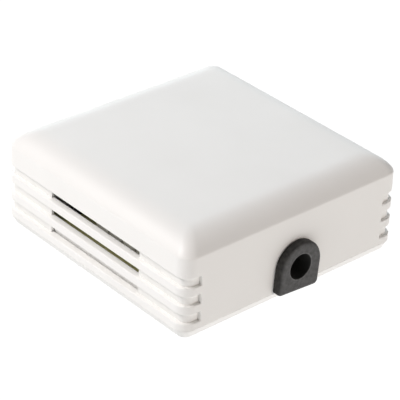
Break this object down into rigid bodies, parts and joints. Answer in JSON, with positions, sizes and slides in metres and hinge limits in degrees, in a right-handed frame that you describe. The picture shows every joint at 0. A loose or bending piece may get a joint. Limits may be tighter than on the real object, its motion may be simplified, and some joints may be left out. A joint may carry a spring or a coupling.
{
  "type": "resistance temperature sensor",
  "caption": "Square wall-mounted room temperature sensor with vented sides, a lift-off cover, a cable grommet, and a circuit board with screw terminals and a resistance element.",
  "frame": {"origin": "centre of the wall fixings on the wall side of the back plate, where the wall is", "axes": "+Z out of the wall through the front face, -Y the side where the cable comes in, -X and +X the vented sides"},
  "size_m": [0.071, 0.0733, 0.027],
  "materials": {
    "cover_plastic": "fine satin, off-white",
    "plate_plastic": "fine satin, off-white",
    "grommet_rubber": "matt dark grey",
    "board_laminate": "khaki woven-glass laminate",
    "screw_steel": "zinc plated",
    "terminal_plastic": "matt light grey",
    "tinned_brass": "tin plated",
    "solder": "bright solder",
    "chip_ceramic": "matt white",
    "platinum": "thin metal film",
    "film_glaze": "clear glaze",
    "lead_wire": "drawn nickel",
    "bead_glass": "opaque glass",
    "cage_steel": "zinc plated"
  },
  "bodies": {
    "base": {"back_plate": "plate_plastic", "cable_grommet": "grommet_rubber", "circuit_board": "board_laminate", "board_screws": "screw_steel", "terminal_housing": "terminal_plastic", "terminal_pins": "tinned_brass", "solder_joints": "solder", "sensing_chip": "chip_ceramic", "platinum_film": "platinum", "glass_cover": "film_glaze", "sensor_leads": "lead_wire", "lead_bead": "bead_glass"},
    "cover": {"front_cover": "cover_plastic"},
    "clamp_screw_1": {"terminal_screw_1": "screw_steel"},
    "clamp_1": {"terminal_cage_1": "cage_steel"},
    "clamp_screw_2": {"terminal_screw_2": "screw_steel"},
    "clamp_2": {"terminal_cage_2": "cage_steel"},
    "clamp_screw_3": {"terminal_screw_3": "screw_steel"},
    "clamp_3": {"terminal_cage_3": "cage_steel"},
    "clamp_screw_4": {"terminal_screw_4": "screw_steel"},
    "clamp_4": {"terminal_cage_4": "cage_steel"}
  },
  "joints": [
    {"name": "cover_lift", "type": "slide", "parent": "base", "child": "cover", "axis": [0, 0, 1], "range_m": [0, 0.03]},
    {"name": "screw_1_turn", "type": "hinge", "parent": "base", "child": "clamp_screw_1", "pos_m": [-0.0245, -0.01152, 0.019], "axis": [0, 0, -1], "range_deg": [0, 1440]},
    {"name": "clamp_1_rise", "type": "slide", "parent": "base", "child": "clamp_1", "axis": [0, 0, 1], "range_m": [0, 0.002]},
    {"name": "screw_2_turn", "type": "hinge", "parent": "base", "child": "clamp_screw_2", "pos_m": [-0.0245, -0.00644, 0.019], "axis": [0, 0, -1], "range_deg": [0, 1440]},
    {"name": "clamp_2_rise", "type": "slide", "parent": "base", "child": "clamp_2", "axis": [0, 0, 1], "range_m": [0, 0.002]},
    {"name": "screw_3_turn", "type": "hinge", "parent": "base", "child": "clamp_screw_3", "pos_m": [-0.0245, -0.00136, 0.019], "axis": [0, 0, -1], "range_deg": [0, 1440]},
    {"name": "clamp_3_rise", "type": "slide", "parent": "base", "child": "clamp_3", "axis": [0, 0, 1], "range_m": [0, 0.002]},
    {"name": "screw_4_turn", "type": "hinge", "parent": "base", "child": "clamp_screw_4", "pos_m": [-0.0245, 0.00372, 0.019], "axis": [0, 0, -1], "range_deg": [0, 1440]},
    {"name": "clamp_4_rise", "type": "slide", "parent": "base", "child": "clamp_4", "axis": [0, 0, 1], "range_m": [0, 0.002]}
  ],
  "couplings": [
    {"joint": "screw_1_turn", "follows": "clamp_1_rise", "rad_per_m": 12566},
    {"joint": "screw_2_turn", "follows": "clamp_2_rise", "rad_per_m": 12566},
    {"joint": "screw_3_turn", "follows": "clamp_3_rise", "rad_per_m": 12566},
    {"joint": "screw_4_turn", "follows": "clamp_4_rise", "rad_per_m": 12566}
  ]
}
